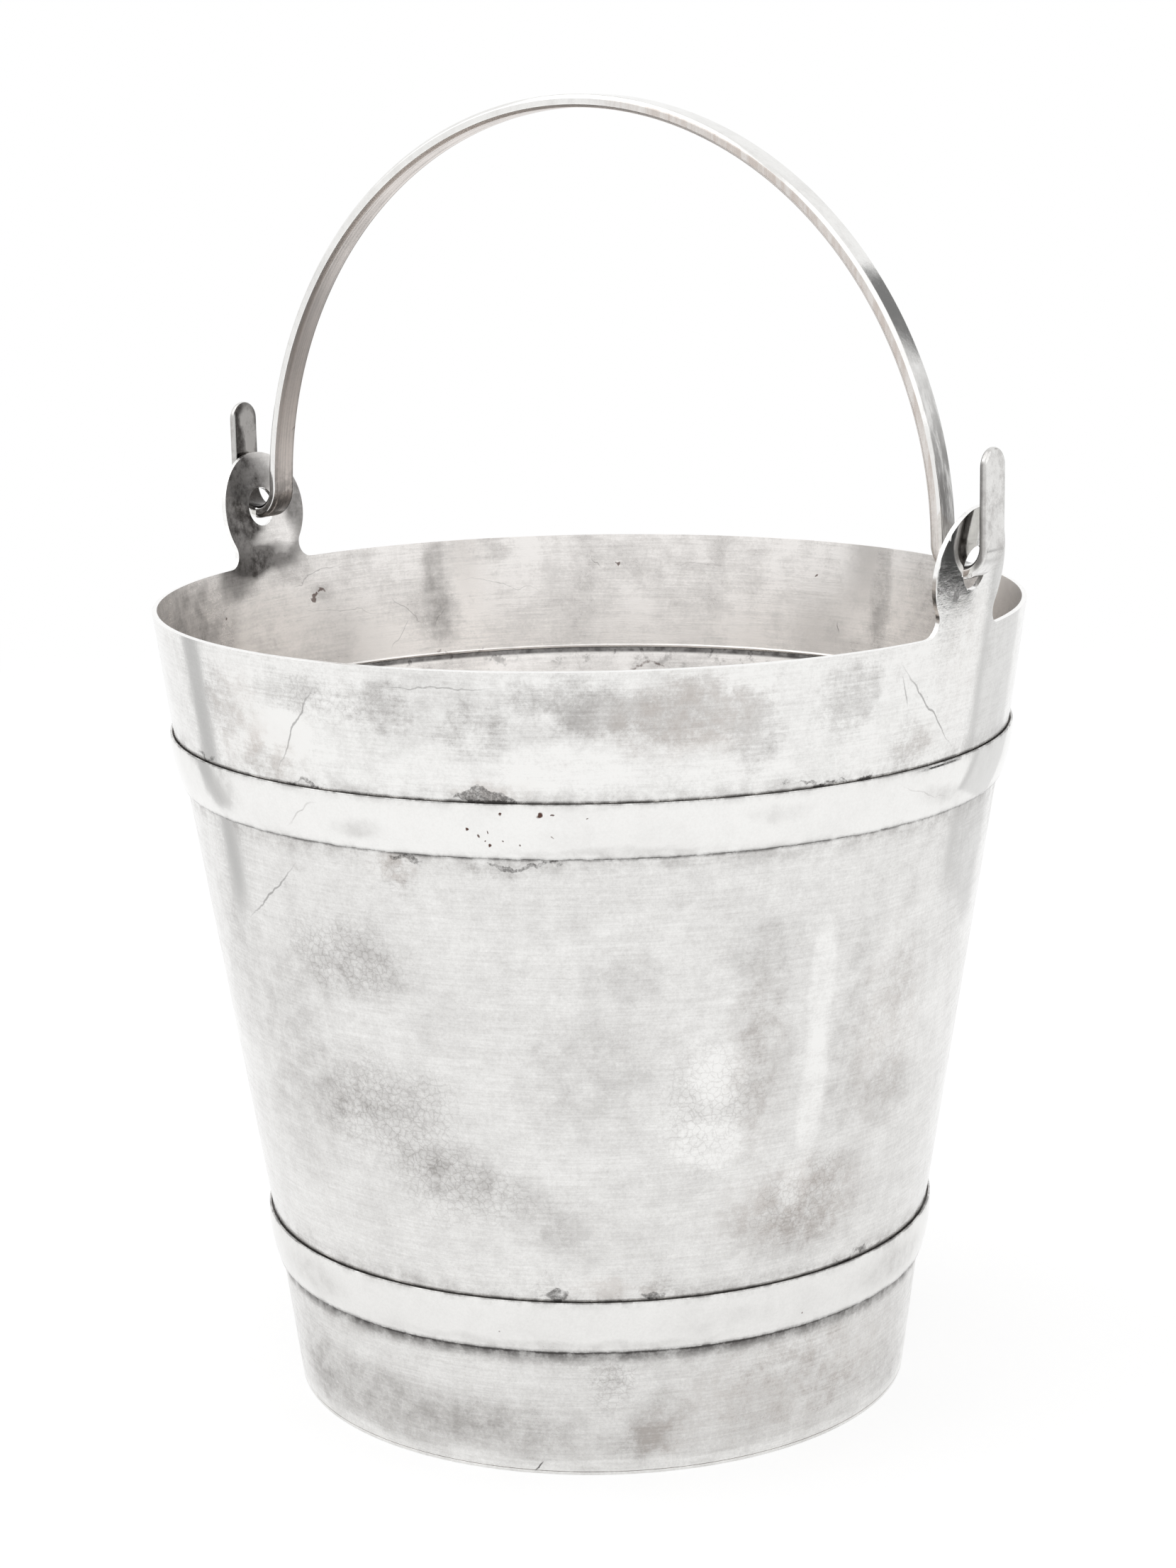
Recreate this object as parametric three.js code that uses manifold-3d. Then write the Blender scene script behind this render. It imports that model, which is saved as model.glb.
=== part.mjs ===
// Champagne bucket in silver-plated sheet metal, with a bail handle that swings in two ears.
// Millimetres, +Z up. The origin is the middle of the base, on the ground, and the ears lie on X.
// The wall is built up: foot wall, barrel and rim collar are three tapered rings of sheet, and
// the two hoops cover their joins. The bail is bent from one chamfered bar.

import * as THREE from 'three';
import * as BufferGeometryUtils from 'three/addons/utils/BufferGeometryUtils.js';
import Module from 'manifold-3d';

const wasm = await Module();
wasm.setup();

// Bucket wall: outer radii and heights. The collar shows from the upper hoop's top to the rim.
const rimHeight = 200;
const collarHeight = 30;
const rimRadius = 108;
const collarLowRadius = 104;
const barrelHighRadius = 101.3;
const barrelLowRadius = 84.2;
const footHighRadius = 82.3;
const footLowRadius = 78.1;
const sheet = 1.2;
const basePlateThickness = 0.8;

// Hoops: the crowned strip that they are made of, and the heights of their lower edges. The upper
// one hangs below the rim by the collar's height.
const hoopWidth = 13.2;
const lowerHoopHeight = 33;
const upperHoopHeight = rimHeight - collarHeight - hoopWidth;
const hoopEdge = 0.6;
const hoopCrown = 0.6;
const hoopLap = 1.2;

// Ears, cut from the same sheet as the rim collar: a round head with a hole, both above the rim
const earHeadRadius = 15.2;
const earHeadRise = 14.2;
const earFilletRadius = 3.8;
const earHoleRadius = 5.1;
const earHoleRise = 15;

// Bail: a chamfered bar, bent through each ear into a flattened tab that points up. A bend sits
// inward of the ear's middle and low in its hole, and the crown laps over the rim's inner edge
// when the bail is down.
const barWidth = 7.5;
const barThickness = 3.2;
const barChamfer = 0.88;
const bendRadius = 6.4;
const bendInset = 1.4;
const bendDrop = 1;
const crownLap = 0.3;
const tabWidth = 9;
const tabThickness = 2;
const tabChamfer = 0.5;
const tabRise = 28.8;

// Clearance between pieces that touch, and the overrun of a cut past what it cuts
const fitGap = 0.3;
const overrun = 5;

// Facets: rounds of the wall, a hoop's crown, the ear's rounds, the bail's bends and tips
const wallSegments = 96;
const crownSegments = 6;
const earSegments = 20;
const archSegments = 72;
const bendSegments = 16;
const tipSegments = 5;

const silver = { color: 0xcfccc6, roughness: 0.34, metalness: 0.95 };
const brightSilver = { color: 0xe2e0dc, roughness: 0.2, metalness: 1 };
const dullSilver = { color: 0xb4aeab, roughness: 0.42, metalness: 0.9 };

// A straight taper through two named heights and radii

class Taper {
  constructor(lowHeight, lowRadius, highHeight, highRadius) {
    this.lowHeight = lowHeight;
    this.lowRadius = lowRadius;
    this.slope = (highRadius - lowRadius) / (highHeight - lowHeight);
    this.stretch = Math.hypot(1, this.slope);
  }

  radiusAt(height, inset = 0) {
    return this.lowRadius + this.slope * (height - this.lowHeight) - inset * this.stretch;
  }
}

const earTop = rimHeight + earHeadRise + earHeadRadius;
const upperHoopTop = upperHoopHeight + hoopWidth;
const lowerHoopTop = lowerHoopHeight + hoopWidth;
const footTaper = new Taper(0, footLowRadius, lowerHoopHeight, footHighRadius);
const barrelTaper = new Taper(lowerHoopTop, barrelLowRadius, upperHoopHeight, barrelHighRadius);
const collarTaper = new Taper(upperHoopTop, collarLowRadius, rimHeight, rimRadius);

// Shapes and solids

function turned(profile) {
  const closed = [...profile, profile[0]].map(([radius, height]) => new THREE.Vector2(radius, height));
  const geometry = new THREE.LatheGeometry(closed, wallSegments);
  geometry.rotateX(Math.PI / 2);
  return geometry;
}

function wallRing(taper, low, high) {
  return turned([
    [taper.radiusAt(low, sheet), low],
    [taper.radiusAt(low), low],
    [taper.radiusAt(high), high],
    [taper.radiusAt(high, sheet), high],
  ]);
}

function solidOf(geometry) {
  const bare = geometry.clone();
  bare.deleteAttribute('normal');
  bare.deleteAttribute('uv');
  const merged = BufferGeometryUtils.mergeVertices(bare);
  return new wasm.Manifold(new wasm.Mesh({
    numProp: 3,
    vertProperties: Float32Array.from(merged.attributes.position.array),
    triVerts: Uint32Array.from(merged.index.array),
  }));
}

function geometryOf(solid) {
  const mesh = solid.getMesh();
  const geometry = new THREE.BufferGeometry();
  geometry.setAttribute('position', new THREE.BufferAttribute(mesh.vertProperties, mesh.numProp));
  geometry.setIndex(new THREE.BufferAttribute(mesh.triVerts, 1));
  geometry.computeVertexNormals();
  return geometry;
}

// A shape drawn as seen along X, with its first coordinate on Y and its second on Z, run
// through both ears

function throughBothEars(shape) {
  const reach = collarTaper.radiusAt(earTop) + overrun;
  const geometry = new THREE.ExtrudeGeometry(shape, {
    depth: reach + reach,
    bevelEnabled: false,
    curveSegments: earSegments,
  });
  const alongX = new THREE.Matrix4().makeBasis(
    new THREE.Vector3(0, 1, 0),
    new THREE.Vector3(0, 0, 1),
    new THREE.Vector3(1, 0, 0),
  );
  geometry.applyMatrix4(alongX);
  geometry.translate(-reach, 0, rimHeight);
  return geometry;
}

// Rim collar with its two ears. Each ear is a round head that flows into the rim by two fillets
// tangent to both, and it follows the collar's taper.

function earOutline() {
  const filletRise = earHeadRise - earFilletRadius;
  const filletY = Math.sqrt((earHeadRadius + earFilletRadius) ** 2 - filletRise ** 2);
  const lean = Math.atan2(filletRise, filletY);
  const shape = new THREE.Shape();
  shape.moveTo(-filletY, -overrun);
  shape.lineTo(-filletY, 0);
  shape.absarc(-filletY, earFilletRadius, earFilletRadius, -Math.PI / 2, lean, false);
  shape.absarc(0, earHeadRise, earHeadRadius, Math.PI + lean, -lean, true);
  shape.absarc(filletY, earFilletRadius, earFilletRadius, Math.PI - lean, Math.PI * 1.5, false);
  shape.lineTo(filletY, -overrun);
  return shape;
}

function earHoleOutline() {
  const shape = new THREE.Shape();
  shape.absarc(0, earHoleRise, earHoleRadius, 0, Math.PI * 2, false);
  return shape;
}

function rimCollar() {
  const tallWall = solidOf(wallRing(collarTaper, upperHoopTop - hoopLap, earTop + overrun));
  const wasteHeight = earTop - rimHeight + overrun + overrun;
  const wasteWidth = 2 * (collarTaper.radiusAt(earTop + overrun) + overrun);
  const block = new THREE.BoxGeometry(wasteWidth, wasteWidth, wasteHeight);
  block.translate(0, 0, rimHeight + wasteHeight / 2);
  const waste = solidOf(block).subtract(solidOf(throughBothEars(earOutline())));
  return geometryOf(tallWall.subtract(waste).subtract(solidOf(throughBothEars(earHoleOutline()))));
}

// Hoop: flat inside, crowned outside, and lapped over the ends of the wall rings above and
// below it

function hoop(lowHeight, taperBelow, taperAbove) {
  const highHeight = lowHeight + hoopWidth;
  const lowRadius = taperBelow.radiusAt(lowHeight) + fitGap;
  const highRadius = taperAbove.radiusAt(highHeight) + fitGap;
  const profile = [];
  for (let i = 0; i <= crownSegments; i += 1) {
    const share = i / crownSegments;
    const height = THREE.MathUtils.lerp(lowHeight, highHeight, share);
    const flat = THREE.MathUtils.lerp(lowRadius, highRadius, share);
    const bulge = hoopCrown * 4 * share * (1 - share);
    profile.push([flat + hoopEdge + bulge, height]);
  }
  profile.push([highRadius, highHeight]);
  profile.push([taperAbove.radiusAt(highHeight - hoopLap) + fitGap, highHeight - hoopLap]);
  profile.push([taperBelow.radiusAt(lowHeight + hoopLap) + fitGap, lowHeight + hoopLap]);
  profile.push([lowRadius, lowHeight]);
  return turned(profile);
}

// Base plate: a flat disc, as wide as the foot wall that stands on it

function basePlate() {
  const geometry = new THREE.CylinderGeometry(
    footTaper.radiusAt(basePlateThickness),
    footLowRadius,
    basePlateThickness,
    wallSegments,
  );
  geometry.rotateX(Math.PI / 2);
  geometry.translate(0, 0, basePlateThickness / 2);
  return geometry;
}

// Bail. Its centre line lies in the XZ plane: a tab, a bend through the ear's hole, the arch, and
// the same again. The bends hang low in the holes and are the pivot. The arch is tangent to both,
// and rises just so far that its crown lands on the rim when the bail is down.

const pivotRise = earHoleRise - bendDrop;
const pivotHeight = rimHeight + pivotRise;
const bendX = collarTaper.radiusAt(pivotHeight, sheet / 2) - bendInset;
const crownReach = Math.hypot(collarTaper.radiusAt(rimHeight, sheet) + crownLap, pivotRise);
const crownRise = Math.sqrt(crownReach ** 2 - (barWidth / 2 - barChamfer) ** 2) - barThickness / 2;
const bendOverArch = (bendX ** 2 - crownRise ** 2) / (2 * crownRise);
const archHeight = pivotHeight + bendRadius - bendOverArch;
const archRadius = crownRise - bendRadius + bendOverArch;
const archEnd = Math.atan2(bendOverArch, bendX);

// One station of the bar: a place on the centre line, the direction in which the bar's thickness
// is measured, and a section that runs from the bar's (0) to the tab's (1)

function station(x, z, angle, flatness, tipShare = 1) {
  const { lerp } = THREE.MathUtils;
  const width = lerp(barWidth, tabWidth, flatness) * tipShare;
  return {
    centre: new THREE.Vector3(x, 0, z),
    out: new THREE.Vector3(Math.cos(angle), 0, Math.sin(angle)),
    halfWidth: width / 2,
    halfThickness: lerp(barThickness, tabThickness, flatness) / 2,
    chamfer: lerp(barChamfer, tabChamfer, flatness) * tipShare,
  };
}

function halfOfStations() {
  const stations = [];
  const tabX = bendX + bendRadius;
  const bendZ = pivotHeight + bendRadius;
  const roundedTip = tabWidth / 2;
  const shoulder = pivotHeight + tabRise - roundedTip;
  for (let i = 0; i <= tipSegments; i += 1) {
    const turn = (Math.PI / 2) * ((i + 1) / (tipSegments + 1));
    stations.push(station(tabX, shoulder + roundedTip * Math.cos(turn), 0, 1, Math.sin(turn)));
  }
  for (let i = 0; i <= bendSegments; i += 1) {
    const turn = (Math.PI - archEnd) * (i / bendSegments);
    const flatness = THREE.MathUtils.smoothstep(Math.cos(turn), 0, 1);
    const x = bendX + bendRadius * Math.cos(turn);
    stations.push(station(x, bendZ - bendRadius * Math.sin(turn), -turn, flatness));
  }
  return stations;
}

function archStations() {
  const stations = [];
  for (let i = 1; i < archSegments; i += 1) {
    const turn = THREE.MathUtils.lerp(archEnd, Math.PI - archEnd, i / archSegments);
    const x = archRadius * Math.cos(turn);
    stations.push(station(x, archHeight + archRadius * Math.sin(turn), Math.PI + turn, 0));
  }
  return stations;
}

function mirrored(stations) {
  return stations.map((one) => ({
    ...one,
    centre: one.centre.clone().setX(-one.centre.x),
    out: one.out.clone().setZ(-one.out.z),
  })).reverse();
}

function sectionOf({ centre, out, halfWidth, halfThickness, chamfer }) {
  const flatWidth = halfWidth - chamfer;
  const flatThickness = halfThickness - chamfer;
  const corners = [
    [flatThickness, halfWidth], [halfThickness, flatWidth],
    [halfThickness, -flatWidth], [flatThickness, -halfWidth],
    [-flatThickness, -halfWidth], [-halfThickness, -flatWidth],
    [-halfThickness, flatWidth], [-flatThickness, halfWidth],
  ];
  return corners.map(([thick, wide]) => centre.clone().addScaledVector(out, thick).setY(wide));
}

function lofted(stations) {
  const sections = stations.map(sectionOf);
  const sides = sections[0].length;
  const last = (sections.length - 1) * sides;
  const positions = sections.flatMap((section) => section.flatMap((point) => point.toArray()));
  const index = [];
  for (let ring = 0; ring < last; ring += sides) {
    for (let side = 0; side < sides; side += 1) {
      const next = (side + 1) % sides;
      index.push(ring + side, ring + next, ring + sides + next);
      index.push(ring + side, ring + sides + next, ring + sides + side);
    }
  }
  for (let side = 1; side < sides - 1; side += 1) {
    index.push(0, side + 1, side);
    index.push(last, last + side, last + side + 1);
  }
  const geometry = new THREE.BufferGeometry();
  geometry.setAttribute('position', new THREE.Float32BufferAttribute(positions, 3));
  geometry.setIndex(index);
  geometry.computeVertexNormals();
  return geometry;
}

function bail() {
  const half = halfOfStations();
  return lofted([...half, ...archStations(), ...mirrored(half)]);
}

// The assembly

function piece(name, geometry, finish) {
  const mesh = new THREE.Mesh(geometry, new THREE.MeshStandardMaterial(finish));
  mesh.name = name;
  return mesh;
}

const bucket = new THREE.Group();
bucket.add(
  piece('base_plate', basePlate(), silver),
  piece('foot_wall', wallRing(footTaper, basePlateThickness, lowerHoopHeight + hoopLap), silver),
  piece('lower_hoop', hoop(lowerHoopHeight, footTaper, barrelTaper), brightSilver),
  piece('barrel', wallRing(barrelTaper, lowerHoopTop - hoopLap, upperHoopHeight + hoopLap), silver),
  piece('upper_hoop', hoop(upperHoopHeight, barrelTaper, collarTaper), brightSilver),
  piece('rim_collar', rimCollar(), silver),
);

const champagneBucket = new THREE.Group();
champagneBucket.add(bucket, piece('bail', bail(), dullSilver));

export default champagneBucket;
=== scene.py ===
"""Champagne bucket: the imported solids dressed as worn, tarnished silver, on a plain pale floor."""

import math

import bmesh
import bpy
from bmesh import ops
from bpy.props import FloatProperty, FloatVectorProperty, IntProperty, PointerProperty
from mathutils import Matrix, Vector


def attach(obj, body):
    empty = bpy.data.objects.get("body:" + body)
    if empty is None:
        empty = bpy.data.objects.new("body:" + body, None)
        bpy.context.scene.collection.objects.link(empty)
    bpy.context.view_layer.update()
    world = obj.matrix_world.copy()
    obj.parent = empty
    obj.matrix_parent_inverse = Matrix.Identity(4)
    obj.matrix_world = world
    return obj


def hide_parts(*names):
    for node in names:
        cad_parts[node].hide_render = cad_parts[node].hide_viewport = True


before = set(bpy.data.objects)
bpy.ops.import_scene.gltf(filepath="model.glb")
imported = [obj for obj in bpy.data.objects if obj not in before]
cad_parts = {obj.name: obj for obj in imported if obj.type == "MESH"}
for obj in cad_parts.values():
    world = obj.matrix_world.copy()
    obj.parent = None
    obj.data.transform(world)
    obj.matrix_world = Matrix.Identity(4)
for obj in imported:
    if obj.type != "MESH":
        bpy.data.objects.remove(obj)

bl_info = {
    "name": "Champagne Bucket",
    "version": (1, 0, 0),
    "blender": (4, 5, 0),
    "location": "View3D > Sidebar > Bucket",
    "description": "Builds a tapered silver bucket with two hoops, two ears and a swinging bail",
    "category": "Add Mesh",
}

MM = 0.001
WELD = 0.01 * MM
BEAD_CORNERS = 10
FLOOR_CORNERS = 96
# How squarely a face looks at something, from 0 to 1, where that decides its finish
CUT_EDGE_OUTWARD = 0.75
BASE_TOP_UPWARD = 0.9
BAIL_INSIDE_INWARD = 0.6
TAB_INSIDE_INWARD = 0.5


def length(name, description, millimetres):
    """A length property, with its default given in millimetres."""
    return FloatProperty(
        name=name,
        description=description,
        default=millimetres * MM,
        min=0,
        unit="LENGTH",
        precision=5,
    )


def colour(name, description, default):
    return FloatVectorProperty(
        name=name, description=description, default=default, size=3, min=0, max=1, subtype="COLOR"
    )


def share(name, description, default):
    return FloatProperty(
        name=name, description=description, default=default, min=0, subtype="FACTOR"
    )


def angle(name, description, degrees):
    return FloatProperty(
        name=name, description=description, default=math.radians(degrees), subtype="ANGLE",
        unit="ROTATION",
    )


def count(name, description, default, least=4):
    return IntProperty(name=name, description=description, default=default, min=least)


class WallSizes(bpy.types.PropertyGroup):
    """Heights and outer radii of the three rings of sheet."""

    rim_height: length("Rim height", "Height of the rim", 200)
    rim_radius: length("Rim radius", "Outer radius at the rim", 108)
    collar_low_radius: length("Collar low radius", "Outer radius above the upper hoop", 104)
    barrel_high_radius: length("Barrel high radius", "Outer radius under the upper hoop", 101.3)
    barrel_low_radius: length("Barrel low radius", "Outer radius above the lower hoop", 84.2)
    foot_high_radius: length("Foot high radius", "Outer radius under the lower hoop", 82.3)
    foot_low_radius: length("Foot low radius", "Outer radius on the ground", 78.1)
    sheet: length("Sheet", "Thickness of the sheet", 1.2)
    base_thickness: length("Base thickness", "Thickness of the base plate", 0.8)
    edge_rounding: length("Edge rounding", "How far the sheet's edges are rounded", 0.3)
    bead_radius: length("Bead radius", "Radius of the bead inside the collar's lower edge", 0.5)
    steps: count("Steps", "Steps round the wall", 240, 24)


class HoopSizes(bpy.types.PropertyGroup):
    """The two crowned strips over the wall's joins."""

    upper_height: length("Upper height", "Height of the upper hoop's lower edge", 156.8)
    lower_height: length("Lower height", "Height of the lower hoop's lower edge", 33)
    width: length("Width", "Width of the strip", 13.2)
    edge: length("Edge", "Thickness of the strip at its edges", 0.6)
    crown: length("Crown", "Rise of the strip's middle over its edges", 0.6)
    lap: length("Lap", "How far a wall ring runs in behind the strip", 1.2)
    clearance: length("Clearance", "Gap between the strip and the wall", 0.3)
    rounding: length("Rounding", "How far the strip's edges are rounded", 0.22)
    crown_steps: count("Crown steps", "Steps over the crown", 12)


class EarSizes(bpy.types.PropertyGroup):
    """The two ears, cut from the collar's sheet."""

    head_radius: length("Head radius", "Radius of the round head", 15.2)
    head_rise: length("Head rise", "Height of the head's centre over the rim", 14.2)
    fillet_radius: length("Fillet radius", "Radius of the flow into the rim", 3.8)
    hole_radius: length("Hole radius", "Radius of the bail's hole", 5.1)
    hole_rise: length("Hole rise", "Height of the hole's centre over the rim", 15)
    arc_steps: count("Arc steps", "Steps in a quarter of the head", 20)


class BailSizes(bpy.types.PropertyGroup):
    """The bar, its bends and its tabs."""

    bar_width: length("Bar width", "Width of the bar", 7.5)
    bar_thickness: length("Bar thickness", "Thickness of the bar", 3.2)
    bar_chamfer: length("Bar chamfer", "Chamfer along the bar", 0.88)
    bend_radius: length("Bend radius", "Centre-line radius of a bend", 6.4)
    bend_inset: length("Bend inset", "How far a bend sits inward of the ear", 1.4)
    bend_drop: length("Bend drop", "How far the pivot lies under the hole's centre", 1)
    crown_lap: length("Crown lap", "How far the crown laps over the rim when down", 0.3)
    tab_width: length("Tab width", "Width of a tab", 9)
    tab_thickness: length("Tab thickness", "Thickness of a tab", 2)
    tab_chamfer: length("Tab chamfer", "Chamfer round a tab", 0.5)
    tab_rise: length("Tab rise", "Height of a tab's tip over the pivot", 28.8)
    rounding: length("Rounding", "How far the chamfers' edges are worn round", 0.26)
    arch_steps: count("Arch steps", "Steps in half of the arch", 64, 8)
    bend_steps: count("Bend steps", "Steps in a bend", 40, 8)
    tip_steps: count("Tip steps", "Steps round a tab's tip", 20)


class SilverLook(bpy.types.PropertyGroup):
    """Colours of the silver, its tarnish, and the painted shade and painted highlight on it."""

    bright: colour("Bright", "Rubbed silver", (0.86, 0.855, 0.84))
    # Edge: a painted highlight, near white, along the sheet's cut edges at the rim and round the
    # ears
    edge: colour("Edge", "Cut edge of the sheet where it is rubbed most", (0.97, 0.965, 0.955))
    worn: colour("Worn", "Silver rubbed through heavy tarnish", (0.42, 0.405, 0.39))
    tarnish: colour("Tarnish", "Grey tarnish", (0.365, 0.35, 0.338))
    warm: colour("Warm", "Warm film on the wall", (0.59, 0.53, 0.49))
    satin: colour("Satin", "Warm film inside the bail", (0.8, 0.745, 0.71))
    inner: colour("Inner", "Silver inside the wall", (0.885, 0.86, 0.838))
    black: colour("Black", "Heavy tarnish on an ear and a tab", (0.058, 0.053, 0.05))
    # Crevice: the dark of dirt and cracks, and also of painted shade along the hoops' edges, under
    # the hoops and under the bead inside
    crevice: colour("Crevice", "Dirt left in the corners", (0.09, 0.085, 0.083))
    pit: colour("Pit", "Corroded spots", (0.1, 0.055, 0.045))
    polish: share("Polish", "Roughness of rubbed silver", 0.06)
    dullness: share("Dullness", "Roughness of tarnished silver", 0.42)


class StageSizes(bpy.types.PropertyGroup):
    """Floor, lights and camera."""

    floor_radius: length("Floor radius", "Radius of the floor", 4000)
    floor_tone: share("Floor tone", "Grey of the floor under its glow", 0.42)
    floor_glow: share("Floor glow", "Light that the floor adds where it is seen", 0.66)
    camera_place: FloatVectorProperty(
        name="Camera place", description="Where the camera stands", size=3,
        default=(0.4768, -0.639, 0.3261), subtype="TRANSLATION", unit="LENGTH",
    )
    camera_heading: angle("Camera heading", "Turn of the view about Z", 36.81)
    camera_pitch: angle("Camera pitch", "How far the view looks down", 12.337)
    camera_roll: angle("Camera roll", "Roll of the view", -1.0344)
    camera_lens: FloatProperty(
        name="Lens", description="Focal length in millimetres", default=74.32, min=1
    )


class BucketSettings(bpy.types.PropertyGroup):
    """Everything that the bucket is built from."""

    wall: PointerProperty(type=WallSizes, name="Wall", description="Sizes of the wall")
    hoop: PointerProperty(type=HoopSizes, name="Hoops", description="Sizes of the hoops")
    ear: PointerProperty(type=EarSizes, name="Ears", description="Sizes of the ears")
    bail: PointerProperty(type=BailSizes, name="Bail", description="Sizes of the bail")
    look: PointerProperty(type=SilverLook, name="Look", description="Colours of the silver")
    stage: PointerProperty(type=StageSizes, name="Stage", description="Floor and camera")


class Taper:
    """A straight taper through two heights and radii."""

    def __init__(self, low_height, low_radius, high_height, high_radius):
        self.low_height = low_height
        self.low_radius = low_radius
        self.slope = (high_radius - low_radius) / (high_height - low_height)
        self.stretch = math.hypot(1, self.slope)

    def radius_at(self, height, inset=0):
        return self.low_radius + self.slope * (height - self.low_height) - inset * self.stretch


def tapers(settings):
    """The tapers of the foot wall, the barrel and the collar."""
    wall, hoop = settings.wall, settings.hoop
    low, high = hoop.lower_height + hoop.width, hoop.upper_height + hoop.width
    return (
        Taper(0, wall.foot_low_radius, hoop.lower_height, wall.foot_high_radius),
        Taper(low, wall.barrel_low_radius, hoop.upper_height, wall.barrel_high_radius),
        Taper(high, wall.collar_low_radius, wall.rim_height, wall.rim_radius),
    )


def wall_radius(settings, height):
    """The wall's outer radius at a height."""
    hoop = settings.hoop
    joins = (low + hoop.width / 2 for low in (hoop.lower_height, hoop.upper_height))
    return tapers(settings)[sum(height >= join for join in joins)].radius_at(height)


# Meshes


def linked(name, data):
    """A new object in the scene."""
    made = bpy.data.objects.new(name, data)
    bpy.context.scene.collection.objects.link(made)
    return made


def object_of(mesh, name, materials):
    """An object with a mesh's shape, in the scene."""
    data = bpy.data.meshes.new(name)
    mesh.to_mesh(data)
    mesh.free()
    for material in materials:
        data.materials.append(material)
    return linked(name, data)


def piece_of(mesh, name, nodes, materials, body="bucket"):
    """A finished piece of the object, shaded smooth, that rides on a body in place of its nodes."""
    piece = object_of(mesh, name, materials)
    piece.data.shade_smooth()
    normals = piece.modifiers.new("even shading", "WEIGHTED_NORMAL")
    normals.keep_sharp = True
    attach(piece, body)
    if nodes:
        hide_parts(*nodes)


def everything(mesh):
    return mesh.verts[:] + mesh.edges[:] + mesh.faces[:]


def weld(mesh):
    """Joins the vertices that meet, and turns the faces of a closed shape outward."""
    ops.remove_doubles(mesh, verts=mesh.verts, dist=WELD)
    ops.recalc_face_normals(mesh, faces=mesh.faces)


def round_edges(mesh, rounding, segments=2, sharpest=30):
    """Rounds every edge that turns by more than an angle in degrees."""
    sharp = [edge for edge in mesh.edges if edge.calc_face_angle(0) > math.radians(sharpest)]
    ops.bevel(
        mesh, geom=sharp, offset=rounding, offset_type="OFFSET", affect="EDGES",
        segments=segments, profile=0.5, material=-1, clamp_overlap=True,
    )


def turned(profile, steps):
    """A ring turned round Z from a closed profile of radii and heights."""
    mesh = bmesh.new()
    points = [mesh.verts.new((radius, 0, height)) for radius, height in profile]
    edges = [mesh.edges.new(pair) for pair in zip(points, points[1:] + points[:1])]
    ops.spin(
        mesh, geom=points + edges, cent=(0, 0, 0), axis=(0, 0, 1), angle=math.tau,
        steps=steps, use_merge=True,
    )
    weld(mesh)
    return mesh


def mark_wall(mesh, lowest_edge=math.inf):
    """Gives the second material to the faces that look toward the bucket's axis, and the third to
    the sheet's cut edges above a height."""
    for face in mesh.faces:
        place = face.calc_center_median()
        outward = face.normal.dot(Vector((place.x, place.y, 0)).normalized())
        face.material_index = 1 if outward < 0 else 0
        if place.z > lowest_edge and abs(outward) < CUT_EDGE_OUTWARD:
            face.material_index = 2


def wall_ring(settings, taper, low, high):
    wall = settings.wall
    mesh = turned(
        [
            (taper.radius_at(low, wall.sheet), low),
            (taper.radius_at(low), low),
            (taper.radius_at(high), high),
            (taper.radius_at(high, wall.sheet), high),
        ],
        wall.steps,
    )
    round_edges(mesh, wall.edge_rounding)
    mark_wall(mesh)
    return mesh


def hoop_ring(settings, low, below, above):
    """A strip, flat inside and crowned outside, lapped over the rings below and above it."""
    hoop = settings.hoop
    high = low + hoop.width
    low_radius = below.radius_at(low) + hoop.clearance
    high_radius = above.radius_at(high) + hoop.clearance
    profile = []
    for step in range(hoop.crown_steps + 1):
        along = step / hoop.crown_steps
        flat = low_radius + (high_radius - low_radius) * along
        bulge = hoop.crown * 4 * along * (1 - along)
        profile.append((flat + hoop.edge + bulge, low + hoop.width * along))
    profile += [
        (high_radius, high),
        (above.radius_at(high - hoop.lap) + hoop.clearance, high - hoop.lap),
        (below.radius_at(low + hoop.lap) + hoop.clearance, low + hoop.lap),
        (low_radius, low),
    ]
    mesh = turned(profile, settings.wall.steps)
    round_edges(mesh, hoop.rounding, sharpest=60)
    mark_wall(mesh)
    return mesh


def ear_outline(mesh, settings):
    """An ear's outline over the rim, drawn in the YZ plane: one side, mirrored."""
    ear, rim = settings.ear, settings.wall.rim_height
    rise = ear.head_rise - ear.fillet_radius
    out = math.sqrt((ear.head_radius + ear.fillet_radius) ** 2 - rise**2)
    lean = math.atan2(rise, out)
    foot = mesh.verts.new((0, out, rim))
    fillet = ops.spin(
        mesh, geom=[foot], cent=(0, out, rim + ear.fillet_radius), axis=(1, 0, 0),
        angle=-(math.pi / 2 + lean), steps=ear.arc_steps // 2,
    )
    neck = [item for item in fillet["geom_last"] if isinstance(item, bmesh.types.BMVert)]
    ops.spin(
        mesh, geom=neck, cent=(0, 0, rim + ear.head_rise), axis=(1, 0, 0),
        angle=math.pi / 2 + lean, steps=ear.arc_steps * 2,
    )
    ops.mirror(mesh, geom=everything(mesh), axis="Y", merge_dist=WELD)
    ops.remove_doubles(mesh, verts=mesh.verts, dist=WELD)


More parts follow.
